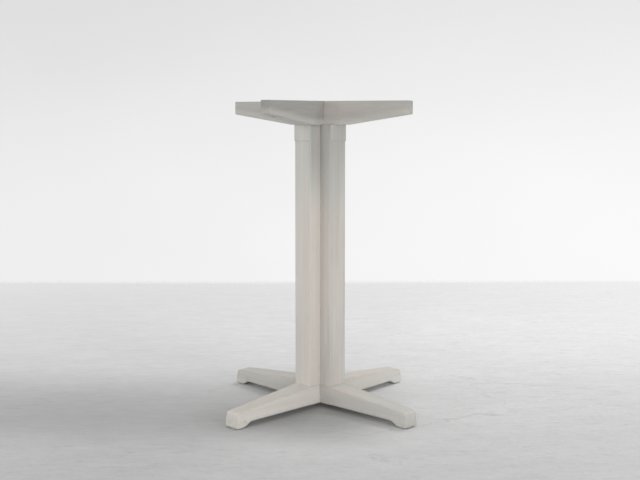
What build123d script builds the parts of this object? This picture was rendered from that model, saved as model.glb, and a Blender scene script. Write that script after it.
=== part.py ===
# Pedestal base for a bar table, in limed solid wood: a cross foot with shaped toes, a post of
# plus-shaped section and a cross head of tapered arms that carries the table top.
# Millimetres. +Z is up, and the origin is on the floor under the post's axis.
from build123d import *
import os
from math import cos, radians, sin

os.makedirs("parts", exist_ok=True)

# Overall sizes
base_height = 1040.0  # floor to the top faces of the arms
board_thickness = 74.0  # post boards, and beams and arms where they cross
foot_azimuth = 45.0  # plan direction of the lower foot beam, degrees
head_turn = 14.0  # plan angle from the foot beams round to the head arms, degrees

# Foot beams
foot_reach = 406.0  # post axis to the nose of a toe
foot_root_depth = 63.0  # beam depth under the post
foot_tip_depth = 35.0  # beam depth at the top of the nose, above the underside's level
foot_tip_thickness = 54.0  # beam thickness at the nose
foot_clearance = 15.0  # underside of a beam above the soles of its toes
edge_chamfer = 2.0  # eased long edges of beams and arms

# Toes
sole_length = 24.0  # flat sole, back from the nose
ogee_length = 44.0  # run of the ogee that rises from the sole to the underside
ogee_convex_share = 0.65  # part of that run that is the convex arc at the sole
nose_bulge = 7.0  # how far the nose stands out past the beam's top edge
nose_belly = 13.0  # height above the sole where the nose reaches farthest
nose_top_round = 12.0
nose_sole_round = 7.0

# Post
post_width = 167.0  # across the plus-shaped section
collar_swell = 3.5  # extra width on each side under the arms
collar_height = 50.0
collar_run = 8.0  # height of the slope below the collar
post_edge_chamfer = 2.0

# Head arms
head_reach = 337.0  # post axis to the end of an arm
head_root_depth = 79.0
head_tip_depth = 44.0
head_tip_thickness = 34.0
seat_margin = 1.0  # level seat past the post's corners
arm_end_round = 2.5

# Lag screws and washers that hold foot and head to the post
lag_radius = 4.0
lag_bite = 52.0  # length of screw in the post
lag_point = 6.0
lag_head_flats = 13.0
lag_head_height = 5.5
washer_radius = 12.0
washer_thickness = 2.0
counterbore_radius = 13.0
counterbore_depth = 15.0

# Splines glued into grooves between the centre board and the side boards
spline_thickness = 12.0
spline_width = 30.0

# Glides under the toes
glide_radius = 8.5
glide_height = 2.0
glide_inset = 15.5  # nose to the middle of a glide

# Holes in the arms for the screws that hold a table top
fixing_circle_radius = 290.0
fixing_hole_radius = 3.0
fixing_recess_radius = 6.0
fixing_web = 25.0  # wood left above the recess

# Clearances
lap_clearance = 0.1  # each side of a beam in the other's notch
shank_clearance = 0.5  # lag screw in the beam or arm it holds
pilot_clearance = 0.05  # screw in the hole that it grips
hole_end_clearance = 2.0  # past the end of a screw in a blind hole
spline_clearance = 0.1  # each side of a spline, and at its edges
cutter_overrun = 1.0  # a cutting shape's run past the face that it opens

# Heights and plan sizes that follow from the values above
post_half_width = post_width / 2
half_board = board_thickness / 2
sole_level = glide_height
foot_underside = sole_level + foot_clearance
foot_top = foot_underside + foot_root_depth
foot_lap_level = foot_underside + foot_root_depth / 2
head_underside = base_height - head_root_depth
head_lap_level = base_height - head_root_depth / 2
post_height = head_underside - foot_top
collar_half_width = post_half_width + collar_swell
head_azimuth = foot_azimuth + head_turn
spline_azimuth = foot_azimuth + 90
head_seat_half = (
    collar_half_width * cos(radians(head_turn)) + half_board * sin(radians(head_turn)) + seat_margin
)
lag_circle_radius = (half_board + post_half_width) / 2
glide_circle_radius = foot_reach - glide_inset

across_board = Axis((0, 0, 0), (0, 1, 0))
standing = (Align.CENTER, Align.CENTER, Align.MIN)


def plan_taper(root, reach, root_thickness, tip_thickness, height):
    """Keep only what lies inside a plan outline that narrows from the root to the tip."""
    with BuildSketch() as plan:
        with BuildLine():
            Polyline(
                (root, -root_thickness / 2),
                (reach, -tip_thickness / 2),
                (reach, tip_thickness / 2),
                (root, root_thickness / 2),
                close=True,
            )
        make_face()
    extrude(plan.sketch, amount=height, mode=Mode.INTERSECT)


def rim_edges(solid):
    """Edges along both sides of a half beam that points along +X, but not those of its root face."""
    return solid.edges().filter_by(across_board, reverse=True).group_by(Axis.X)[1:]


def bore(radius, low, high, circle_radius, count, azimuth):
    """Cut upright holes from one height to another, spaced round a circle about the post's axis."""
    with Locations((0, 0, low)):
        with PolarLocations(circle_radius, count, azimuth):
            Cylinder(radius, high - low, align=standing, mode=Mode.SUBTRACT)


def notch(low, high, azimuth):
    """Cut the half of a cross lap that the other beam or arm fills."""
    with Locations(Location((0, 0, low), (0, 0, azimuth))):
        Box(
            board_thickness + 2 * lap_clearance,
            board_thickness + 2 * cutter_overrun,
            high - low,
            align=standing,
            mode=Mode.SUBTRACT,
        )


# Half of a foot beam, along +X from the post's face to the nose of its toe
nose_top = (foot_reach - nose_bulge, foot_underside + foot_tip_depth)
nose_front = (foot_reach, sole_level + nose_belly)
nose_foot = (foot_reach, sole_level)
sole_back = (foot_reach - sole_length, sole_level)
ogee_top = (foot_reach - sole_length - ogee_length, foot_underside)
ogee_turn = (
    sole_back[0] - ogee_length * ogee_convex_share,
    sole_level + foot_clearance * ogee_convex_share,
)

with BuildPart() as foot_half:
    with BuildSketch(Plane.XZ) as foot_side:
        with BuildLine():
            Line((post_half_width, foot_top), nose_top)
            TangentArc(nose_front, nose_top, tangent=(0, 1))
            Polyline(nose_front, nose_foot, sole_back)
            TangentArc(sole_back, ogee_turn, tangent=(-1, 0))
            TangentArc(ogee_top, ogee_turn, tangent=(1, 0))
            Polyline(ogee_top, (post_half_width, foot_underside), (post_half_width, foot_top))
        make_face()
        fillet(foot_side.vertices().sort_by_distance(nose_top)[0], nose_top_round)
        fillet(foot_side.vertices().sort_by_distance(nose_foot)[0], nose_sole_round)
    extrude(amount=half_board, both=True)
    plan_taper(post_half_width, foot_reach, board_thickness, foot_tip_thickness, foot_top)
    chamfer(rim_edges(foot_half), edge_chamfer)


def foot_beam(azimuth):
    """Join two foot halves across the post and drill the beam from below for its lag screws."""
    with PolarLocations(0, 2, azimuth):
        add(foot_half.part)
    with Locations(Location((0, 0, foot_underside), (0, 0, azimuth))):
        Box(post_width, board_thickness, foot_root_depth, align=standing)
    washer_level = foot_underside + counterbore_depth
    bore(lag_radius + shank_clearance, washer_level, foot_top, lag_circle_radius, 2, azimuth)
    bore(counterbore_radius, foot_underside, washer_level, lag_circle_radius, 2, azimuth)


# Foot beam that keeps its lower half at the crossing
with BuildPart() as foot_beam_lower:
    foot_beam(foot_azimuth)
    notch(foot_lap_level, foot_top, foot_azimuth)
foot_beam_lower.part.label = "foot_beam_lower"
export_step(foot_beam_lower.part, "parts/foot_beam_lower.step")

# Foot beam that keeps its upper half at the crossing
with BuildPart() as foot_beam_upper:
    foot_beam(foot_azimuth + 90)
    notch(foot_underside, foot_lap_level, foot_azimuth + 90)
foot_beam_upper.part.label = "foot_beam_upper"
export_step(foot_beam_upper.part, "parts/foot_beam_upper.step")


def swollen_edge(side):
    """Outline points up one outer edge of a post board, which swells into the collar."""
    collar_foot = post_height - collar_height
    return [
        (side * post_half_width, 0),
        (side * post_half_width, collar_foot - collar_run),
        (side * collar_half_width, collar_foot),
        (side * collar_half_width, post_height),
    ]


def board_plane(azimuth):
    """Upright plane through the post's axis, with its origin at the foot of the post."""
    angle = radians(azimuth)
    return Plane((0, 0, foot_top), x_dir=(cos(angle), sin(angle), 0), z_dir=(sin(angle), -cos(angle), 0))


def outer_edges(board, azimuth):
    """Long edges of a board on the side that faces along the azimuth."""
    angle = radians(azimuth)
    facing = Axis((0, 0, 0), (cos(angle), sin(angle), 0))
    across = Axis((0, 0, 0), (-sin(angle), cos(angle), 0))
    long_edges = board.edges().filter_by(across, reverse=True).filter_by(facing, reverse=True)
    return long_edges.filter_by_position(
        facing, post_half_width - post_edge_chamfer, collar_half_width + post_edge_chamfer
    )


def cut_post_board():
    """Drill a post board for the lag screws of foot and head, and groove it for the splines."""
    bore_radius = lag_radius + pilot_clearance
    lag_depth = lag_bite + hole_end_clearance
    bore(bore_radius, foot_top, foot_top + lag_depth, lag_circle_radius, 4, foot_azimuth)
    bore(bore_radius, head_underside - lag_depth, head_underside, lag_circle_radius, 4, head_azimuth)
    with Locations((0, 0, foot_top)):
        with PolarLocations(half_board, 2, spline_azimuth):
            Box(
                spline_width + 2 * spline_clearance,
                spline_thickness + 2 * spline_clearance,
                post_height,
                align=standing,
                mode=Mode.SUBTRACT,
            )


# Post board that runs right through the plus-shaped section
with BuildPart() as post_centre_board:
    with BuildSketch(board_plane(foot_azimuth)):
        with BuildLine():
            Polyline(*swollen_edge(1), *reversed(swollen_edge(-1)), close=True)
        make_face()
    extrude(amount=half_board, both=True)
    chamfer(outer_edges(post_centre_board, foot_azimuth), post_edge_chamfer)
    chamfer(outer_edges(post_centre_board, foot_azimuth + 180), post_edge_chamfer)
    cut_post_board()
post_centre_board.part.label = "post_centre_board"
export_step(post_centre_board.part, "parts/post_centre_board.step")

# Boards that stand against the two faces of the centre board
side_azimuths = {"back_left": spline_azimuth, "front_right": spline_azimuth + 180}
for side_name, side_azimuth in side_azimuths.items():
    with BuildPart() as post_side_board:
        with BuildSketch(board_plane(side_azimuth)):
            with BuildLine():
                Polyline((half_board, 0), *swollen_edge(1), (half_board, post_height), close=True)
            make_face()
        extrude(amount=half_board, both=True)
        chamfer(outer_edges(post_side_board, side_azimuth), post_edge_chamfer)
        cut_post_board()
    post_side_board.part.label = f"post_side_board_{side_name}"
    export_step(post_side_board.part, f"parts/post_side_board_{side_name}.step")

# Splines, one across each glue joint of the post
for side_name, side_azimuth in side_azimuths.items():
    with BuildPart() as post_spline:
        with Locations((0, 0, foot_top)):
            with PolarLocations(half_board, 1, side_azimuth):
                Box(spline_width, spline_thickness, post_height, align=standing)
    post_spline.part.label = f"post_spline_{side_name}"
    export_step(post_spline.part, f"parts/post_spline_{side_name}.step")

# Half of a head arm, along +X from the edge of its level seat to its blunt end
arm_end_bottom = (head_reach, base_height - head_tip_depth)
arm_end_top = (head_reach, base_height)

with BuildPart() as head_half:
    with BuildSketch(Plane.XZ) as arm_side:
        with BuildLine():
            Polyline(
                (head_seat_half, head_underside),
                arm_end_bottom,
                arm_end_top,
                (head_seat_half, base_height),
                close=True,
            )
        make_face()
        fillet(arm_side.vertices().sort_by_distance(arm_end_bottom)[0], arm_end_round)
        fillet(arm_side.vertices().sort_by_distance(arm_end_top)[0], arm_end_round)
    extrude(amount=half_board, both=True)
    plan_taper(head_seat_half, head_reach, board_thickness, head_tip_thickness, base_height)
    chamfer(rim_edges(head_half), edge_chamfer)


def head_arm(azimuth):
    """Join two arm halves over the post and drill the arm for its screws."""
    with PolarLocations(0, 2, azimuth):
        add(head_half.part)
    with Locations(Location((0, 0, head_underside), (0, 0, azimuth))):
        Box(2 * head_seat_half, board_thickness, head_root_depth, align=standing)
    washer_level = base_height - counterbore_depth
    bore(lag_radius + shank_clearance, head_underside, washer_level, lag_circle_radius, 2, azimuth)
    bore(counterbore_radius, washer_level, base_height, lag_circle_radius, 2, azimuth)
    recess_top = base_height - fixing_web
    bore(fixing_hole_radius, recess_top, base_height, fixing_circle_radius, 2, azimuth)
    bore(fixing_recess_radius, head_underside, recess_top, fixing_circle_radius, 2, azimuth)


# Arm that keeps its lower half at the crossing
with BuildPart() as head_arm_lower:
    head_arm(head_azimuth)
    notch(head_lap_level, base_height, head_azimuth)
head_arm_lower.part.label = "head_arm_lower"
export_step(head_arm_lower.part, "parts/head_arm_lower.step")

# Arm that keeps its upper half at the crossing
with BuildPart() as head_arm_upper:
    head_arm(head_azimuth + 90)
    notch(head_underside, head_lap_level, head_azimuth + 90)
head_arm_upper.part.label = "head_arm_upper"
export_step(head_arm_upper.part, "parts/head_arm_upper.step")


def lag_screw(shank_length):
    """Hexagon-headed screw that points up, with the underside of its head at the origin."""
    with BuildPart() as screw:
        with BuildSketch():
            RegularPolygon(lag_head_flats / 2, 6, major_radius=False)
        extrude(amount=-lag_head_height)
        Cylinder(lag_radius, shank_length - lag_point, align=standing)
        with Locations((0, 0, shank_length - lag_point)):
            Cone(lag_radius, 0, lag_point, align=standing)
    return screw.part


def washer():
    """Flat washer that a lag screw's head bears on, with its face at the origin and its body above."""
    with BuildPart() as ring:
        Cylinder(washer_radius, washer_thickness, align=standing)
        bore(lag_radius + shank_clearance, 0, washer_thickness, 0, 1, 0)
    return ring.part


foot_screw_level = foot_underside + counterbore_depth - washer_thickness
foot_screw = lag_screw(foot_top + lag_bite - foot_screw_level)
head_screw_level = base_height - counterbore_depth + washer_thickness
head_screw = lag_screw(head_screw_level - head_underside + lag_bite)
pointing_down = (180, 0, 0)

# Lag screws up through the foot beams, each with its washer
with BuildPart() as foot_lag_screws:
    with Locations((0, 0, foot_screw_level)):
        with PolarLocations(lag_circle_radius, 4, foot_azimuth):
            add(foot_screw)
foot_lag_screws.part.label = "foot_lag_screws"
export_step(foot_lag_screws.part, "parts/foot_lag_screws.step")

with BuildPart() as foot_washers:
    with Locations((0, 0, foot_screw_level)):
        with PolarLocations(lag_circle_radius, 4, foot_azimuth):
            add(washer())
foot_washers.part.label = "foot_washers"
export_step(foot_washers.part, "parts/foot_washers.step")

# Lag screws down through the head arms, each with its washer
with BuildPart() as head_lag_screws:
    with Locations((0, 0, head_screw_level)):
        with PolarLocations(lag_circle_radius, 4, head_azimuth):
            add(head_screw, rotation=pointing_down)
head_lag_screws.part.label = "head_lag_screws"
export_step(head_lag_screws.part, "parts/head_lag_screws.step")

with BuildPart() as head_washers:
    with Locations((0, 0, head_screw_level)):
        with PolarLocations(lag_circle_radius, 4, head_azimuth):
            add(washer(), rotation=pointing_down)
head_washers.part.label = "head_washers"
export_step(head_washers.part, "parts/head_washers.step")

# Glides, one stuck under each toe
toe_names = ["back_right", "back_left", "front_left", "front_right"]
for toe_number, toe_name in enumerate(toe_names):
    with BuildPart() as foot_glide:
        with PolarLocations(glide_circle_radius, 1, foot_azimuth + 90 * toe_number):
            Cylinder(glide_radius, glide_height, align=standing)
    foot_glide.part.label = f"foot_glide_{toe_name}"
    export_step(foot_glide.part, f"parts/foot_glide_{toe_name}.step")
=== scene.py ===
"""Finishes and studio for a pedestal table base in limed wood.

The post, the foot beams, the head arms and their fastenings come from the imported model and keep
their shapes. This file gives each of them its finish, and sets up a floor, lamps and a camera.
"""

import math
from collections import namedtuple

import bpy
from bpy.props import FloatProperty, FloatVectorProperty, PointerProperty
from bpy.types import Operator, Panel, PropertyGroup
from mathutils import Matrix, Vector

bl_info = {
    "name": "Limed Pedestal Table Base",
    "version": (1, 0, 0),
    "blender": (4, 5, 0),
    "location": "3D View > Sidebar > Pedestal Base",
    "description": "Finish a wooden pedestal table base and set it on a plain studio floor",
    "category": "Material",
}

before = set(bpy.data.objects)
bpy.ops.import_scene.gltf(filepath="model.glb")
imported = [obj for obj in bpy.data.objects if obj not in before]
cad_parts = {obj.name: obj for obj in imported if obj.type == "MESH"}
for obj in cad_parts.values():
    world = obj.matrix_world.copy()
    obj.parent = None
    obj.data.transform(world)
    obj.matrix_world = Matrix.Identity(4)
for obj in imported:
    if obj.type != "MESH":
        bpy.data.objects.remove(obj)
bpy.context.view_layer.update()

# How each board was cut from its log. Azimuth is the plan direction of a beam's length, or of an
# upright board's width, in degrees. Pith is where the heart of the log lies, in metres across and
# through the board. Start slides the figure along the grain. Tone and warmth shift its colour, and
# figure is how strongly the lime streaks show. End is how light the end grain is beside the long
# faces, and ease is how round the edges look, in metres.
Board = namedtuple(
    "Board",
    "azimuth upright pith start tone warmth figure end ease",
    defaults=(1.0, 0.5, 1.0, 1.0, 0.0020),
)

FOOT_BOARDS = {
    "foot_beam_lower": Board(
        azimuth=45, upright=False, pith=(0.050, -0.075), start=0.40,
        tone=1.11, warmth=0.50, end=0.94, ease=0.0080,
    ),
    "foot_beam_upper": Board(
        azimuth=135, upright=False, pith=(-0.070, -0.050), start=3.10,
        tone=0.92, warmth=0.45, end=0.96, ease=0.0070,
    ),
}
POST_BOARDS = {
    "post_centre_board": Board(
        azimuth=45, upright=True, pith=(-0.085, 0.030), start=7.30,
        tone=1.05, warmth=0.55, figure=0.8,
    ),
    "post_side_board_back_left": Board(
        azimuth=135, upright=True, pith=(0.060, -0.190), start=11.20,
        tone=1.00, warmth=0.40,
    ),
    "post_side_board_front_right": Board(
        azimuth=135, upright=True, pith=(-0.075, 0.175), start=15.70,
        tone=0.95, warmth=0.54, figure=1.8,
    ),
}
# Painted shade: the head arms' low tones, lowest on the lower arm, stand in for a table top's
# shadow
HEAD_BOARDS = {
    "head_arm_lower": Board(
        azimuth=59, upright=False, pith=(-0.060, 0.900), start=19.40,
        tone=0.58, warmth=0.42, figure=1.7, end=0.97,
    ),
    "head_arm_upper": Board(
        azimuth=149, upright=False, pith=(0.065, 0.880), start=23.90,
        tone=0.78, warmth=0.36, figure=1.7, end=0.99,
    ),
}
SPLINES = {
    "post_spline_back_left": Board(
        azimuth=135, upright=True, pith=(0.020, -0.120), start=27.10, ease=0.0008
    ),
    "post_spline_front_right": Board(
        azimuth=135, upright=True, pith=(-0.020, 0.120), start=31.50, ease=0.0008
    ),
}

# Waves per metre of the wood's figure, along the grain, across the board and through it, or
# the same every way
RING_WAVES = (1.3, 7.0, 7.0)
FINE_STREAK_WAVES = (2.6, 190.0, 190.0)
PORE_WAVES = (38.0, 1500.0, 1500.0)
PATCH_WAVES = (1.9, 9.0, 9.0)
WARM_PATCH_WAVES = (0.9, 26.0, 26.0)
RUBBED_WAVES = (16.0, 60.0, 60.0)
KNOCK_WAVES = 55.0
SPLINE_RING_WAVES = (1.5, 12.0, 12.0)
SPLINE_FIBRE_WAVES = (9.0, 800.0, 800.0)

# Width of a fibre as a share of its length
FIBRE_SLIMNESS = 0.012

# Where shade is painted on the post, in metres: the heights over which it sets in, and the places
# from left to right over which it deepens into the inner corner and eases off beyond it
SHADE_RISE = (0.65, 0.89)
SHADE_DEEPENS = (-0.042, -0.026)
SHADE_EASES = (-0.004, 0.014)

# Heights over which the post's warm patches thin out towards the head and towards the foot
WARM_ENDS_ABOVE = (0.60, 0.80)
WARM_ENDS_BELOW = (0.42, 0.22)

# Heights over which scuffs from shoes and brooms fade in, down to the floor
SCUFF_FADE = (0.060, 0.004)

# Painted light on the head arms: how much lighter their faces that look down are painted, and how
# strongly a painted light band runs along the lower edges of their sides, with painted shade above
UNDERSIDE_PAINTED_LIGHT = 0.40
LOWER_EDGE_PAINTED_LIGHT = {"head_arm_lower": 0.32, "head_arm_upper": 0.14}

# Lower edge of a head arm, in metres: its height at the post, how far out it starts to rise, and
# its slope. The painted light fades out over the heights above it that LOWER_EDGE_FADE gives.
ARM_EDGE_HEIGHT = 0.961
ARM_EDGE_START = 0.110
ARM_EDGE_SLOPE = 0.154
LOWER_EDGE_FADE = (0.030, 0.008)

# Share of light that the matt wood throws back at its surface, on the shader's scale
WOOD_SHEEN = {"Specular IOR Level": 0.35}

STEEL_PIECES = ("foot_lag_screws", "foot_washers", "head_lag_screws", "head_washers")
GLIDES = (
    "foot_glide_back_right",
    "foot_glide_back_left",
    "foot_glide_front_left",
    "foot_glide_front_right",
)

# Waves per metre of the fittings' finishes, along x, y and z or the same every way
ZINC_CLOUD_WAVES = 160.0
TOOL_MARK_WAVES = (900.0, 900.0, 140.0)
NYLON_TEXTURE_WAVES = 1400.0
NYLON_DIRT_WAVES = (240.0, 240.0, 700.0)

# Heights on a glide over which its scuffs gain their full strength, down to the floor
GLIDE_SCUFF_FADE = (0.0016, 0.0)

# Rays that find the edges of a piece, for rounding and for wear
EDGE_SAMPLES = 4

# Waves per metre of the floor's figure, across the picture, into its depth and upright, or
# the same every way
CEMENT_CLOUD_WAVES = 2.1
TROWEL_WAVES = (4.5, 12.0, 1.0)
GRIT_WAVES = (16.0, 38.0, 1.0)
SPECK_WAVES = (62.0, 52.0, 1.0)
DASH_WAVES = (11.0, 52.0, 1.0)
CRACK_WAVES = (0.8, 2.0, 1.0)

# Where a crack fades in and is full, as distances from its middle in waves
CRACK_FADE = (0.007, 0.001)

# Where the floor changes, in metres from the post's axis: into the picture's depth for the rise in
# brightness, which is painted light, the coarser grit in front and the painted shadow band's two
# sides, and to the right for the coarser grit, the cracks and the end of the band
FLOOR_WIDTH = 28.0
FLOOR_BRIGHTENS = (-1.2, 1.6)
COARSE_IN_FRONT = (0.10, -0.80)
COARSE_AT_RIGHT = (-0.10, 0.60)
CRACKS_BEGIN = (-0.1, 0.3)
SHADOW_BAND_FRONT = (-0.52, -0.14)
SHADOW_BAND_BACK = (0.56, -0.02)
SHADOW_BAND_RIGHT = (0.34, 0.02)

# Darkest place of the painted shadow, between the front feet, and the distances over which it fades
SHADOW_MIDDLE = (-0.02, -0.20, 0.0)
SHADOW_MIDDLE_FADE = (0.35, 0.04)

# Distances from the post over which the floor fades into the backdrop, in two stages, and how the
# straight line in front of the backdrop begins before and ends after the floor's reach
HAZE_NEAR = (0.7, 3.4)
HAZE_FAR = (2.6, 5.2)
HAZE_NEAR_SHARE = 0.66
WALL_FADE = (-0.22, 0.10)

# How the backdrop changes with the direction of view, as parts of a direction of length 1
BACKDROP_DIMS_UPWARD = (-0.10, 0.16)
BACKDROP_BRIGHTENS_SIDEWAYS = (-0.36, 0.36)

# Lamps, by their plan angle and height angle seen from the aim, in degrees, their distance from it
# and width, in metres, and the property of the studio that holds their power
Lamp = namedtuple("Lamp", "name azimuth elevation distance width power")

LAMPS = (
    Lamp("key_lamp", -50.0, 9.0, 5.0, 2.0, "key_power"),
    Lamp("fill_lamp", 190.0, 14.0, 5.0, 2.2, "fill_power"),
    Lamp("front_lamp", -96.0, 10.0, 5.0, 2.2, "front_power"),
    Lamp("top_lamp", 40.0, 55.0, 2.8, 1.0, "top_power"),
)
LAMP_AIM = (0.0, 0.0, 0.4)


# Sizes and colours


class LimedWoodLook(PropertyGroup):
    """Look of the whitewashed wood."""

    lime_colour: FloatVectorProperty(
        name="Lime",
        description="Where the lime wash lies thickest",
        default=(0.640, 0.616, 0.588),
        size=3, min=0.0, max=1.0, subtype="COLOR",
    )
    wood_colour: FloatVectorProperty(
        name="Wood",
        description="Washed wood between the streaks of lime",
        default=(0.550, 0.525, 0.494),
        size=3, min=0.0, max=1.0, subtype="COLOR",
    )
    late_wood_colour: FloatVectorProperty(
        name="Late Wood",
        description="Dense dark part of each year ring",
        default=(0.435, 0.407, 0.370),
        size=3, min=0.0, max=1.0, subtype="COLOR",
    )
    bare_colour: FloatVectorProperty(
        name="Bare Wood",
        description="Wood that shows where the wash is rubbed off",
        default=(0.330, 0.270, 0.205),
        size=3, min=0.0, max=1.0, subtype="COLOR",
    )
    warm_tint: FloatVectorProperty(
        name="Warm Tint",
        description="Colour that multiplies the warm patches",
        default=(1.022, 0.994, 0.970),
        size=3, min=0.0, soft_max=1.2, subtype="COLOR",
    )
    cool_tint: FloatVectorProperty(
        name="Cool Tint",
        description="Colour that multiplies the cool patches",
        default=(0.975, 0.995, 0.984),
        size=3, min=0.0, soft_max=1.2, subtype="COLOR",
    )
    ring_spacing: FloatProperty(
        name="Ring Spacing",
        description="Thickness of one year's growth",
        default=0.0052, min=0.001, max=0.02, unit="LENGTH",
    )
    ring_wander: FloatProperty(
        name="Ring Wander",
        description="How far the rings stray from a circle",
        default=0.016, min=0.0, max=0.1, unit="LENGTH",
    )
    streak_width: FloatProperty(
        name="Streak Width",
        description="Width of the broad pale and dark streaks",
        default=0.020, min=0.002, max=0.1, unit="LENGTH",
    )
    streak_length: FloatProperty(
        name="Streak Length",
        description="Length of the broad streaks along the grain",
        default=0.62, min=0.05, max=3.0, unit="LENGTH",
    )
    fibre_width: FloatProperty(
        name="Fibre Width",
        description="Width of the finest streaks",
        default=0.0013, min=0.0002, max=0.01, unit="LENGTH",
    )
    # Painted shade on the post, up under the head and into its inner corner: how dark it is
    painted_post_shade: FloatProperty(
        name="Stain",
        description="How much darker the wash has gone on the post, up under the head",
        default=0.26, min=0.0, max=1.0, subtype="FACTOR",
    )
    wear_width: FloatProperty(
        name="Wear Width",
        description="How far in from the edges the wash is rubbed thin",
        default=0.0026, min=0.0, max=0.01, unit="LENGTH",
    )
    edge_wear: FloatProperty(
        name="Edge Wear",
        description="How much of the wash is rubbed off the edges",
        default=0.30, min=0.0, max=1.0, subtype="FACTOR",
    )
    grain_depth: FloatProperty(
        name="Grain Depth",
        description="Depth of the brushed grain",
        default=0.00035, min=0.0, max=0.002, unit="LENGTH", precision=5,
    )
    roughness: FloatProperty(
        name="Roughness",
        description="Roughness of the matt oil over the wash",
        default=0.60, min=0.0, max=1.0, subtype="FACTOR",
    )


class FittingsLook(PropertyGroup):
    """Look of the screws, washers and glides."""

    zinc_colour: FloatVectorProperty(
        name="Zinc",
        description="Zinc plating of screws and washers",
        default=(0.62, 0.63, 0.64),
        size=3, min=0.0, max=1.0, subtype="COLOR",
    )
    zinc_roughness: FloatProperty(
        name="Zinc Roughness",
        description="Roughness of the plating where it is clean",
        default=0.34, min=0.0, max=1.0, subtype="FACTOR",
    )
    nylon_colour: FloatVectorProperty(
        name="Nylon",
        description="Moulded nylon of the glides",
        default=(0.60, 0.59, 0.56),
        size=3, min=0.0, max=1.0, subtype="COLOR",
    )
    scuff_colour: FloatVectorProperty(
        name="Scuffs",
        description="Dirt rubbed into the nylon",
        default=(0.22, 0.21, 0.19),
        size=3, min=0.0, max=1.0, subtype="COLOR",
    )
    spline_colour: FloatVectorProperty(
        name="Spline Wood",
        description="Plain wood of the splines between the post boards",
        default=(0.56, 0.42, 0.27),
        size=3, min=0.0, max=1.0, subtype="COLOR",
    )


class StudioLook(PropertyGroup):
    """Floor, lamps and camera of the studio."""

    # Painted light: the floor is painted darker in front of the base and lighter behind it
    floor_near: FloatVectorProperty(
        name="Near Floor",
        description="Floor in front of the base",
        default=(0.545, 0.545, 0.545),
        size=3, min=0.0, max=1.0, subtype="COLOR",
    )
    floor_far: FloatVectorProperty(
        name="Far Floor",
        description="Floor behind the base",
        default=(0.84, 0.84, 0.84),
        size=3, min=0.0, max=1.0, subtype="COLOR",
    )
    # Painted shadow beside and under the base: how much darker it makes the floor
    floor_painted_shadow: FloatProperty(
        name="Floor Shade",
        description="How much darker the floor has gone beside and under the base",
        default=0.27, min=0.0, max=1.0, subtype="FACTOR",
    )
    floor_cracks: FloatProperty(
        name="Floor Cracks",
        description="How dark the cracks of the floor are",
        default=0.14, min=0.0, max=1.0, subtype="FACTOR",
    )
    backdrop: FloatVectorProperty(
        name="Backdrop",
        description="Plain wall behind the floor, near the ground",
        default=(0.905, 0.905, 0.905),
        size=3, min=0.0, max=1.0, subtype="COLOR",
    )
    backdrop_top: FloatVectorProperty(
        name="Backdrop Top",
        description="The wall higher up",
        default=(0.76, 0.76, 0.76),
        size=3, min=0.0, max=1.0, subtype="COLOR",
    )
    floor_reach: FloatProperty(
        name="Floor Reach",
        description="How far the floor can be seen before it meets the backdrop",
        default=2.54, min=1.0, soft_max=6.0, unit="LENGTH",
    )
    ambient: FloatProperty(
        name="Ambient",
        description="Light that comes evenly from all round",
        default=0.60, min=0.0, soft_max=2.0,
    )
    key_power: FloatProperty(
        name="Key Lamp",
        description="Power of the large lamp at the right",
        default=56.0, min=0.0, soft_max=500.0, unit="POWER",
    )
    fill_power: FloatProperty(
        name="Fill Lamp",
        description="Power of the lamp at the left",
        default=46.0, min=0.0, soft_max=500.0, unit="POWER",
    )
    front_power: FloatProperty(
        name="Front Lamp",
        description="Power of the lamp beside the camera",
        default=60.0, min=0.0, soft_max=500.0, unit="POWER",
    )
    top_power: FloatProperty(
        name="Top Lamp",
        description="Power of the lamp above and behind",
        default=21.0, min=0.0, soft_max=500.0, unit="POWER",
    )
    camera_distance: FloatProperty(
        name="Camera Distance",
        description="From the post's axis to the camera, along the floor",
        default=3.411, min=0.5, soft_max=20.0, unit="LENGTH",
    )
    camera_height: FloatProperty(
        name="Camera Height",
        description="Height of the camera above the floor",
        default=0.990, min=0.0, soft_max=5.0, unit="LENGTH",
    )
    camera_turn: FloatProperty(
        name="Camera Turn",
        description="Plan angle of the camera round the post",
        default=math.radians(-0.80), subtype="ANGLE",
    )
    camera_dip: FloatProperty(
        name="Camera Dip",
        description="How far the camera looks down",
        default=math.radians(5.22), subtype="ANGLE",
    )
    camera_lens: FloatProperty(
        name="Lens",
        description="Focal length on a 36 mm sensor",
        default=56.59, min=10.0, soft_max=300.0,
    )
    camera_shift: FloatProperty(
        name="Vertical Shift",
        description="Shift of the picture, as a share of its width",
        default=-0.05, soft_min=-0.5, soft_max=0.5,
    )


# Shader maths


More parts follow.
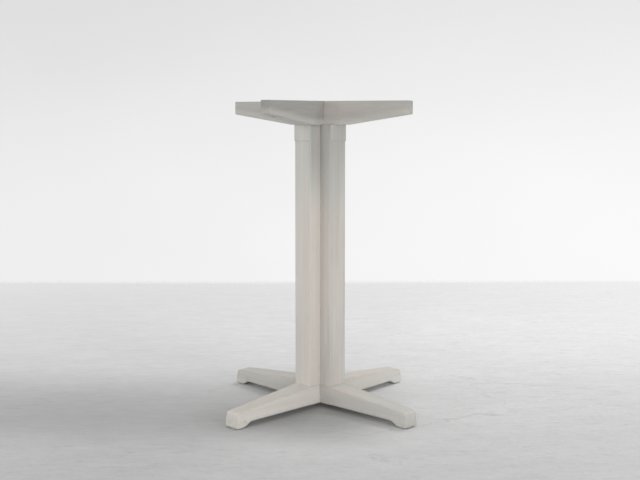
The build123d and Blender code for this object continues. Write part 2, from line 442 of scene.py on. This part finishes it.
class Signal:
    """An output socket of a finish. Arithmetic on it adds Math and Vector Math nodes."""

    def __init__(self, finish, socket):
        self.finish = finish
        self.socket = socket

    def is_wide(self):
        return self.socket.type in {"VECTOR", "RGBA"}

    def combine(self, operation, left, right):
        """Node for one operation on two terms, each a signal, a number or a triple of numbers."""
        def wide(term):
            return term.is_wide() if isinstance(term, Signal) else isinstance(term, tuple)

        def widened(term):
            return (term, term, term) if isinstance(term, (int, float)) else term

        if wide(left) or wide(right):
            return self.finish.node(
                "ShaderNodeVectorMath",
                {"operation": operation},
                {0: widened(left), 1: widened(right)},
            )
        return self.finish.node("ShaderNodeMath", {"operation": operation}, {0: left, 1: right})

    def __add__(self, other):
        return self.combine("ADD", self, other)

    def __radd__(self, other):
        return self.combine("ADD", other, self)

    def __sub__(self, other):
        return self.combine("SUBTRACT", self, other)

    def __rsub__(self, other):
        return self.combine("SUBTRACT", other, self)

    def __mul__(self, other):
        return self.combine("MULTIPLY", self, other)

    def __rmul__(self, other):
        return self.combine("MULTIPLY", other, self)

    def __truediv__(self, other):
        return self.combine("DIVIDE", self, other)

    def __abs__(self):
        kind = "ShaderNodeVectorMath" if self.is_wide() else "ShaderNodeMath"
        return self.finish.node(kind, {"operation": "ABSOLUTE"}, {0: self})

    def larger(self, other):
        return self.combine("MAXIMUM", self, other)

    def fraction(self):
        return self.finish.node("ShaderNodeMath", {"operation": "FRACT"}, {0: self})

    def length(self):
        return self.finish.node(
            "ShaderNodeVectorMath", {"operation": "LENGTH"}, {0: self}, output="Value"
        )

    def dot(self, other):
        return self.finish.node(
            "ShaderNodeVectorMath",
            {"operation": "DOT_PRODUCT"},
            {0: self, 1: other},
            output="Value",
        )

    def step(self, low, high):
        """0 up to low, 1 from high on, and smooth between. Low may be the larger of the two."""
        return self.finish.node(
            "ShaderNodeMapRange",
            {"interpolation_type": "SMOOTHSTEP"},
            {"Value": self, "From Min": low, "From Max": high},
        )


class Finish:
    """Node tree of a material or of the world."""

    def __init__(self, tree):
        self.tree = tree
        tree.nodes.clear()

    def node(self, kind, settings=None, inputs=None, output=0):
        """Add a node, set it up, fill or link its sockets, and return one output as a signal."""
        made = self.tree.nodes.new(kind)
        for name, value in (settings or {}).items():
            if name == "stops":
                self.set_stops(made.color_ramp.elements, value)
            else:
                setattr(made, name, value)
        for name, value in (inputs or {}).items():
            socket = self.find(made.inputs, name)
            if isinstance(value, Signal):
                self.tree.links.new(value.socket, socket)
            elif isinstance(value, (tuple, Vector)) and socket.type == "RGBA":
                socket.default_value = (*value, 1.0)
            else:
                socket.default_value = value
        return Signal(self, self.find(made.outputs, output)) if made.outputs else None

    @staticmethod
    def set_stops(elements, stops):
        while len(elements) < len(stops):
            elements.new(1.0)
        for element, (position, value) in zip(elements, stops):
            element.position = position
            element.color = (value, value, value, 1.0)

    @staticmethod
    def find(sockets, name):
        """Socket by its number, or by the identifier or name that Blender gives it."""
        if isinstance(name, int):
            return sockets[name]
        return next((s for s in sockets if s.identifier == name), None) or sockets[name]

    def noise(self, place, detail=2.0, roughness=0.5, distortion=0.0):
        return self.node(
            "ShaderNodeTexNoise",
            inputs={
                "Vector": place, "Scale": 1.0, "Detail": detail,
                "Roughness": roughness, "Distortion": distortion,
            },
        )

    def ramp(self, value, *stops):
        return self.node("ShaderNodeValToRGB", {"stops": stops}, {0: value})

    def blend(self, factor, first, second):
        """Colour that goes from first to second as the factor goes from 0 to 1."""
        return self.node(
            "ShaderNodeMix",
            {"data_type": "RGBA"},
            {"Factor_Float": factor, "A_Color": first, "B_Color": second},
            output="Result_Color",
        )

    def surface(self, base_colour, roughness, height, depth, ease, constants):
        """Principled surface with bump and eased edges, joined to the output."""
        eased = self.node("ShaderNodeBevel", {"samples": EDGE_SAMPLES}, {"Radius": ease})
        bump = self.node(
            "ShaderNodeBump",
            inputs={"Strength": 1.0, "Distance": depth, "Height": height, "Normal": eased},
        )
        shader = self.node(
            "ShaderNodeBsdfPrincipled",
            inputs={"Base Color": base_colour, "Roughness": roughness, "Normal": bump, **constants},
        )
        self.node("ShaderNodeOutputMaterial", inputs={"Surface": shader})

    def edges(self, radius):
        """1 on the edges of a piece and 0 a radius away from them."""
        eased = self.node("ShaderNodeBevel", {"samples": EDGE_SAMPLES}, {"Radius": radius})
        flat = self.node("ShaderNodeNewGeometry", output="True Normal")
        return (1.0 - eased.dot(flat)).step(0.02, 0.30)


def new_finish(name):
    material = bpy.data.materials.new(name)
    material.use_nodes = True
    return material, Finish(material.node_tree)


def dress(node_name, material):
    """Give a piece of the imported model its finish, through its material slots."""
    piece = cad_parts.get(node_name)
    if piece is None:
        raise RuntimeError(f"the model has no piece named {node_name}")
    if not piece.material_slots:
        piece.data.materials.append(material)
    for slot in piece.material_slots:
        slot.material = material


def plain(colour):
    """A property's colour as a plain tuple."""
    return tuple(colour)


def scaled(colour, share):
    """A colour made darker or lighter, up to white."""
    return tuple(min(1.0, share * part) for part in colour)


# Finishes


def along_grain(finish, board):
    """Place in the log, in metres along, across and through the grain, and its direction."""
    turn = Matrix.Rotation(-math.radians(board.azimuth), 3, "Z")
    if board.upright:
        turn = Matrix.Rotation(math.radians(90), 3, "Y") @ turn
    place = finish.node("ShaderNodeTexCoord", output="Object")
    across, through = board.pith
    log = finish.node(
        "ShaderNodeMapping",
        inputs={
            "Vector": place,
            "Rotation": tuple(turn.to_euler()),
            "Location": (board.start, -across, -through),
        },
    )
    return log, turn.transposed() @ Vector((1, 0, 0))


def lower_edge(place, height):
    """1 along the lower edge of a head arm, and 0 a little way above it."""
    out = (place * (1.0, 1.0, 0.0)).length()
    rise = ARM_EDGE_SLOPE * (out - ARM_EDGE_START).larger(0.0)
    return (height - ARM_EDGE_HEIGHT - rise).step(*LOWER_EDGE_FADE)


def limed_wood(name, board, look):
    """Whitewashed wood with year rings, streaks of lime, fibres, pores and rubbed edges.

    On the post and the head arms it also carries painted shade, and on the arms painted light.
    """
    material, finish = new_finish(f"limed_{name}")
    log, grain = along_grain(finish, board)
    place = finish.node("ShaderNodeTexCoord", output="Object")
    height = place.dot((0.0, 0.0, 1.0))
    streak_waves = (1 / look.streak_length, 1 / look.streak_width, 1 / look.streak_width)
    fibre_waves = (FIBRE_SLIMNESS / look.fibre_width, 1 / look.fibre_width, 1 / look.fibre_width)

    # Year rings round the pith, which stray a little along the log
    wander = finish.noise(log * RING_WAVES, detail=2.0) - 0.5
    reach = (log * (0.0, 1.0, 1.0)).length() + wander * look.ring_wander
    ring = (reach / look.ring_spacing).fraction()
    late_wood = finish.ramp(ring, (0.0, 0.0), (0.55, 0.35), (0.90, 1.0), (1.0, 0.0))

    # Streaks, fibres and pores along the grain, and soft patches of thicker and warmer wash
    streaks = finish.noise(log * streak_waves, detail=3.0, roughness=0.55)
    fine_streaks = finish.noise(log * FINE_STREAK_WAVES, detail=3.0, roughness=0.6)
    fibres = finish.noise(log * fibre_waves, detail=3.0, roughness=0.6)
    pores = finish.noise(log * PORE_WAVES, detail=1.0).step(0.60, 0.70)
    patches = finish.noise(log * PATCH_WAVES, detail=3.0, roughness=0.6)
    warmth = finish.noise(log * WARM_PATCH_WAVES + (5.0, 0.0, 0.0), detail=2.0)

    # End grain, which takes the wash in its own way
    facing = finish.node("ShaderNodeNewGeometry", output="True Normal")
    end_grain = abs(facing.dot(tuple(grain))).step(0.80, 0.97)

    # Lime over the wood, thickest in the streaks and patches, with late wood and pores through it
    lime = (streaks.step(0.34, 0.68) * 0.42 + fine_streaks.step(0.32, 0.70) * 0.20
            + patches.step(0.34, 0.66) * 0.40)
    lime = 0.5 + board.figure * (lime - 0.5)
    washed = finish.blend(lime, plain(look.wood_colour), plain(look.lime_colour))
    rings = late_wood * (0.26 - 0.12 * lime)
    washed = finish.blend(rings, washed, plain(look.late_wood_colour))
    washed = finish.blend(pores * 0.35 * (1.0 - end_grain), washed, plain(look.lime_colour))

    # Warm and cool patches, which on the post are warm at mid height only
    warm_shift = board.warmth - 0.5
    if board.upright:
        warm_shift = (board.warmth - 0.46 - 0.24 * height.step(*WARM_ENDS_ABOVE)
                      - 0.12 * height.step(*WARM_ENDS_BELOW))
    warm = (warmth + warm_shift).step(0.34, 0.66)
    tint = finish.blend(warm, plain(look.cool_tint), plain(look.warm_tint))
    tone = (board.tone * 0.96 + 0.08 * fibres) * (1.0 - (1.0 - board.end) * end_grain)
    toned = washed * tint * tone

    # Painted light under and low on the head arms, with painted shade on their sides above that
    if name in LOWER_EDGE_PAINTED_LIGHT:
        looks_down = facing.dot((0.0, 0.0, -1.0)).step(0.50, 0.90)
        painted_light_and_shade = LOWER_EDGE_PAINTED_LIGHT[name] * (lower_edge(place, height) * (0.55 + 0.9 * patches) - 0.36)
        toned = toned * (1.0 + UNDERSIDE_PAINTED_LIGHT * looks_down) * (1.0 + painted_light_and_shade)
    # Painted shade on the post, up under the head and deepest into its inner corner
    if board.upright:
        side = place.dot((1.0, 0.0, 0.0))
        share = 0.22 + 0.98 * side.step(*SHADE_DEEPENS) - 0.51 * side.step(*SHADE_EASES)
        painted_post_shade = height.step(*SHADE_RISE) * share
        toned = toned * (1.0 - look.painted_post_shade * painted_post_shade * (0.75 + 0.5 * patches))

    # Wash rubbed off the edges, in patches, and scuffs low down
    rubbed = finish.noise(log * RUBBED_WAVES, detail=4.0, roughness=0.65).step(0.46, 0.66)
    worn = finish.edges(look.wear_width) * (0.25 + 0.75 * rubbed) * look.edge_wear
    toned = finish.blend(worn, toned, plain(look.bare_colour))
    knocks = finish.noise(place * KNOCK_WAVES, detail=4.0, roughness=0.7).step(0.50, 0.72)
    scuffs = height.step(*SCUFF_FADE) * knocks
    toned = finish.blend(scuffs * 0.30, toned, plain(look.bare_colour))

    grain_height = 0.55 * fibres + 0.45 * fine_streaks - 0.55 * pores - 0.25 * late_wood
    matt = look.roughness + 0.16 * (fibres - 0.5) - 0.10 * worn + 0.06 * lime
    finish.surface(toned, matt, grain_height, look.grain_depth, board.ease, WOOD_SHEEN)
    return material


def spline_wood(name, board, look, fittings):
    """Plain unwashed wood, cut across by fine year rings."""
    material, finish = new_finish(name)
    log, _grain = along_grain(finish, board)
    wander = finish.noise(log * SPLINE_RING_WAVES, detail=2.0) - 0.5
    reach = (log * (0.0, 1.0, 1.0)).length() + wander * look.ring_wander
    ring = (reach / (look.ring_spacing * 0.5)).fraction()
    rings = finish.ramp(ring, (0.0, 0.0), (0.9, 1.0), (1.0, 0.0))
    fibres = finish.noise(log * SPLINE_FIBRE_WAVES, detail=3.0, roughness=0.6)
    wood = plain(fittings.spline_colour)
    shade = finish.blend(rings * 0.35 + fibres * 0.25, wood, scaled(wood, 0.62))
    finish.surface(
        shade, 0.58 + 0.15 * fibres, fibres - 0.3 * rings, look.grain_depth, board.ease,
        WOOD_SHEEN,
    )
    return material


def zinc_steel(name, fittings):
    """Zinc-plated steel, a little clouded, with fine tool marks and brighter edges."""
    material, finish = new_finish(name)
    place = finish.node("ShaderNodeTexCoord", output="Object")
    clouds = finish.noise(place * ZINC_CLOUD_WAVES, detail=4.0, roughness=0.6)
    marks = finish.noise(place * TOOL_MARK_WAVES, detail=2.0)
    worn = finish.edges(0.0008)
    zinc = plain(fittings.zinc_colour)
    plated = finish.blend(clouds.step(0.35, 0.70) * 0.5, zinc, scaled(zinc, 0.72))
    plated = finish.blend(worn * 0.35, plated, scaled(zinc, 1.25))
    dull = fittings.zinc_roughness + 0.22 * clouds.step(0.40, 0.75) + 0.08 * marks - 0.06 * worn
    finish.surface(
        plated, dull, height=0.7 * marks + 0.3 * clouds, depth=0.00008, ease=0.0004,
        constants={"Metallic": 1.0},
    )
    return material


def nylon(name, fittings):
    """Moulded nylon with a fine texture, scuffed towards the floor."""
    material, finish = new_finish(name)
    place = finish.node("ShaderNodeTexCoord", output="Object")
    height = place.dot((0.0, 0.0, 1.0))
    texture = finish.noise(place * NYLON_TEXTURE_WAVES, detail=2.0)
    dirt = finish.noise(place * NYLON_DIRT_WAVES, detail=4.0, roughness=0.7)
    scuffs = dirt.step(0.42, 0.70) * (0.25 + 0.75 * height.step(*GLIDE_SCUFF_FADE))
    moulded = finish.blend(
        scuffs * 0.35, plain(fittings.nylon_colour), plain(fittings.scuff_colour)
    )
    finish.surface(
        moulded, 0.48 + 0.25 * scuffs, height=texture - 0.6 * scuffs, depth=0.00006,
        ease=0.0003, constants={"Specular IOR Level": 0.45},
    )
    return material


# Operators


class PEDESTAL_OT_finish_foot(Operator):
    """Give the two foot beams their limed wood"""

    bl_idname = "pedestal.finish_foot"
    bl_label = "Finish Foot Beams"

    def execute(self, context):
        for name, board in FOOT_BOARDS.items():
            dress(name, limed_wood(name, board, context.scene.pedestal_wood))
        return {"FINISHED"}


class PEDESTAL_OT_finish_post(Operator):
    """Give the three post boards their limed wood, and the splines between them plain wood"""

    bl_idname = "pedestal.finish_post"
    bl_label = "Finish Post"

    def execute(self, context):
        look = context.scene.pedestal_wood
        for name, board in POST_BOARDS.items():
            dress(name, limed_wood(name, board, look))
        for name, board in SPLINES.items():
            dress(name, spline_wood(f"plain_{name}", board, look, context.scene.pedestal_fittings))
        return {"FINISHED"}


class PEDESTAL_OT_finish_head(Operator):
    """Give the two head arms their limed wood"""

    bl_idname = "pedestal.finish_head"
    bl_label = "Finish Head Arms"

    def execute(self, context):
        for name, board in HEAD_BOARDS.items():
            dress(name, limed_wood(name, board, context.scene.pedestal_wood))
        return {"FINISHED"}


class PEDESTAL_OT_finish_screws(Operator):
    """Give the lag screws and their washers zinc plating"""

    bl_idname = "pedestal.finish_screws"
    bl_label = "Finish Screws and Washers"

    def execute(self, context):
        plating = zinc_steel("zinc_plating", context.scene.pedestal_fittings)
        for name in STEEL_PIECES:
            dress(name, plating)
        return {"FINISHED"}


class PEDESTAL_OT_finish_glides(Operator):
    """Give the glides under the toes moulded nylon"""

    bl_idname = "pedestal.finish_glides"
    bl_label = "Finish Glides"

    def execute(self, context):
        moulding = nylon("glide_nylon", context.scene.pedestal_fittings)
        for name in GLIDES:
            dress(name, moulding)
        return {"FINISHED"}


def floor_tone(finish, place, look):
    """Colour of trowelled cement, with painted shadow beside and under the base, and painted light
    that makes it lighter towards the back and the right.
    """
    depth = place.dot((0.0, 1.0, 0.0))
    side = place.dot((1.0, 0.0, 0.0))

    # Soft clouds and trowel streaks, with more grit and short marks in front and at the right
    clouds = finish.noise(place * CEMENT_CLOUD_WAVES, detail=4.0, roughness=0.6)
    trowel = finish.noise(place * TROWEL_WAVES, detail=4.0, roughness=0.65)
    grit = finish.noise(place * GRIT_WAVES, detail=3.0, roughness=0.7)
    specks = finish.noise(place * SPECK_WAVES, detail=3.0, roughness=0.75) - 0.5
    dashes = finish.noise(place * DASH_WAVES, detail=3.0, roughness=0.6).step(0.60, 0.70)
    coarse = depth.step(*COARSE_IN_FRONT).larger(side.step(*COARSE_AT_RIGHT))

    # A few thin cracks at the right
    cell_edge = finish.node(
        "ShaderNodeTexVoronoi",
        {"feature": "DISTANCE_TO_EDGE"},
        {"Vector": place * CRACK_WAVES + clouds * 0.9 + trowel * 0.12, "Scale": 1.0},
        output="Distance",
    )
    cracks = cell_edge.step(*CRACK_FADE) * clouds.step(0.43, 0.52) * side.step(*CRACKS_BEGIN)

    # Painted light: darker in front of the base and lighter behind it
    tone = finish.blend(depth.step(*FLOOR_BRIGHTENS), plain(look.floor_near), plain(look.floor_far))
    tone = tone * (
        0.76 + 0.10 * clouds + 0.18 * trowel + 0.20 * grit + (0.04 + 0.16 * coarse) * specks
        - (0.08 + 0.06 * coarse) * dashes - look.floor_cracks * cracks
    )
    # Painted light: lighter towards the right
    tone = tone * (1.0 + 0.05 * side)

    # Painted shadow in a band beside the base, and deepest between its front feet
    shadow_band = depth.step(*SHADOW_BAND_FRONT) * depth.step(*SHADOW_BAND_BACK) * side.step(*SHADOW_BAND_RIGHT)
    shadow_middle = finish.node(
        "ShaderNodeVectorMath", {"operation": "DISTANCE"}, {0: place, 1: SHADOW_MIDDLE}, output="Value"
    ).step(*SHADOW_MIDDLE_FADE)
    return tone * (1.0 - look.floor_painted_shadow * shadow_band) * (1.0 - look.floor_painted_shadow * shadow_middle)


def add_floor(look):
    """Pale floor that keeps the base's shadow and runs out into the backdrop."""
    half = FLOOR_WIDTH / 2
    mesh = bpy.data.meshes.new("studio_floor")
    corners = [(-half, -half, 0.0), (half, -half, 0.0), (half, half, 0.0), (-half, half, 0.0)]
    mesh.from_pydata(corners, [], [(0, 1, 2, 3)])
    floor = bpy.data.objects.new("studio_floor", mesh)
    bpy.context.scene.collection.objects.link(floor)

    material, finish = new_finish("studio_floor")
    mesh.materials.append(material)
    place = finish.node("ShaderNodeTexCoord", output="Object")
    cement = finish.node(
        "ShaderNodeBsdfPrincipled",
        inputs={
            "Base Color": floor_tone(finish, place, look),
            "Roughness": 0.85,
            "Specular IOR Level": 0.2,
        },
    )

    # Clear to the camera's rays far from the base, so that the backdrop shows there
    wall_starts, wall_ends = WALL_FADE
    wall_line = place.dot((0.0, 1.0, 0.0)).step(
        look.floor_reach + wall_starts, look.floor_reach + wall_ends
    )
    away = (place * (1.0, 1.0, 0.0)).length()
    haze = away.step(*HAZE_NEAR) * HAZE_NEAR_SHARE + away.step(*HAZE_FAR) * (1.0 - HAZE_NEAR_SHARE)
    seen = finish.node("ShaderNodeLightPath", output="Is Camera Ray")
    clear = finish.node("ShaderNodeBsdfTransparent")
    ground = finish.node(
        "ShaderNodeMixShader", inputs={0: haze.larger(wall_line) * seen, 1: cement, 2: clear}
    )
    finish.node("ShaderNodeOutputMaterial", inputs={"Surface": ground})


def add_world(look):
    """Even light from all round, with the plain backdrop where the camera looks past the floor."""
    world = bpy.data.worlds.new("studio_air")
    world.use_nodes = True
    bpy.context.scene.world = world
    finish = Finish(world.node_tree)
    camera_ray, glossy_ray, clear_ray = (
        finish.node("ShaderNodeLightPath", output=ray)
        for ray in ("Is Camera Ray", "Is Glossy Ray", "Is Transmission Ray")
    )
    seen = camera_ray.larger(glossy_ray).larger(clear_ray)
    direction = finish.node("ShaderNodeTexCoord", output="Generated")
    clouds = finish.noise(direction * (5.0, 5.0, 9.0), detail=2.0, roughness=0.5)
    upward = direction.dot((0.0, 0.0, 1.0)).step(*BACKDROP_DIMS_UPWARD)
    sideways = direction.dot((1.0, 0.0, 0.0)).step(*BACKDROP_BRIGHTENS_SIDEWAYS)
    backdrop = finish.blend(upward, plain(look.backdrop), plain(look.backdrop_top))
    backdrop = backdrop * (0.945 + 0.11 * sideways + 0.05 * (clouds - 0.5))
    ambient = (look.ambient, look.ambient, look.ambient)
    shade = finish.blend(seen, ambient, backdrop)
    sky = finish.node("ShaderNodeBackground", inputs={"Color": shade, "Strength": 1.0})
    finish.node("ShaderNodeOutputWorld", inputs={"Surface": sky})


def add_lamp(lamp, power):
    """Square area lamp that looks at the base from where its row in the table of lamps says."""
    flat = lamp.distance * math.cos(math.radians(lamp.elevation))
    offset = Vector((
        flat * math.cos(math.radians(lamp.azimuth)),
        flat * math.sin(math.radians(lamp.azimuth)),
        lamp.distance * math.sin(math.radians(lamp.elevation)),
    ))
    light = bpy.data.lights.new(lamp.name, "AREA")
    light.shape = "SQUARE"
    light.size = lamp.width
    light.energy = power
    placed = bpy.data.objects.new(lamp.name, light)
    placed.location = Vector(LAMP_AIM) + offset
    placed.rotation_euler = (-offset).to_track_quat("-Z", "Y").to_euler()
    bpy.context.scene.collection.objects.link(placed)


def add_camera(look):
    """Camera at the picture's viewpoint, turned about the post's axis."""
    optics = bpy.data.cameras.new("studio_camera")
    optics.lens = look.camera_lens
    optics.sensor_width = 36.0
    optics.shift_y = look.camera_shift
    camera = bpy.data.objects.new("studio_camera", optics)
    camera.location = (
        look.camera_distance * math.sin(look.camera_turn),
        -look.camera_distance * math.cos(look.camera_turn),
        look.camera_height,
    )
    camera.rotation_euler = (math.radians(90) - look.camera_dip, 0.0, look.camera_turn)
    bpy.context.scene.collection.objects.link(camera)
    bpy.context.scene.camera = camera


class PEDESTAL_OT_build_studio(Operator):
    """Set up the floor, the backdrop, the lamps and the camera"""

    bl_idname = "pedestal.build_studio"
    bl_label = "Build Studio"

    def execute(self, context):
        look = context.scene.pedestal_studio
        add_floor(look)
        add_world(look)
        for lamp in LAMPS:
            add_lamp(lamp, getattr(look, lamp.power))
        add_camera(look)
        context.scene.view_settings.view_transform = "Standard"
        return {"FINISHED"}


class PEDESTAL_PT_build(Panel):
    """Steps that finish the base, with their sizes and colours"""

    bl_label = "Pedestal Base"
    bl_idname = "PEDESTAL_PT_build"
    bl_space_type = "VIEW_3D"
    bl_region_type = "UI"
    bl_category = "Pedestal Base"

    def draw(self, context):
        for operator in OPERATORS:
            self.layout.operator(operator.bl_idname)
        for group in (
            context.scene.pedestal_wood,
            context.scene.pedestal_fittings,
            context.scene.pedestal_studio,
        ):
            box = self.layout.box()
            for name in group.__annotations__:
                box.prop(group, name)


OPERATORS = (
    PEDESTAL_OT_finish_foot,
    PEDESTAL_OT_finish_post,
    PEDESTAL_OT_finish_head,
    PEDESTAL_OT_finish_screws,
    PEDESTAL_OT_finish_glides,
    PEDESTAL_OT_build_studio,
)
CLASSES = (LimedWoodLook, FittingsLook, StudioLook, *OPERATORS, PEDESTAL_PT_build)


def register():
    for kind in CLASSES:
        bpy.utils.register_class(kind)
    bpy.types.Scene.pedestal_wood = PointerProperty(type=LimedWoodLook)
    bpy.types.Scene.pedestal_fittings = PointerProperty(type=FittingsLook)
    bpy.types.Scene.pedestal_studio = PointerProperty(type=StudioLook)


def unregister():
    del bpy.types.Scene.pedestal_studio
    del bpy.types.Scene.pedestal_fittings
    del bpy.types.Scene.pedestal_wood
    for kind in reversed(CLASSES):
        bpy.utils.unregister_class(kind)


def main():
    register()
    bpy.ops.pedestal.finish_foot()
    bpy.ops.pedestal.finish_post()
    bpy.ops.pedestal.finish_head()
    bpy.ops.pedestal.finish_screws()
    bpy.ops.pedestal.finish_glides()
    bpy.ops.pedestal.build_studio()


if __name__ == "__main__":
    main()
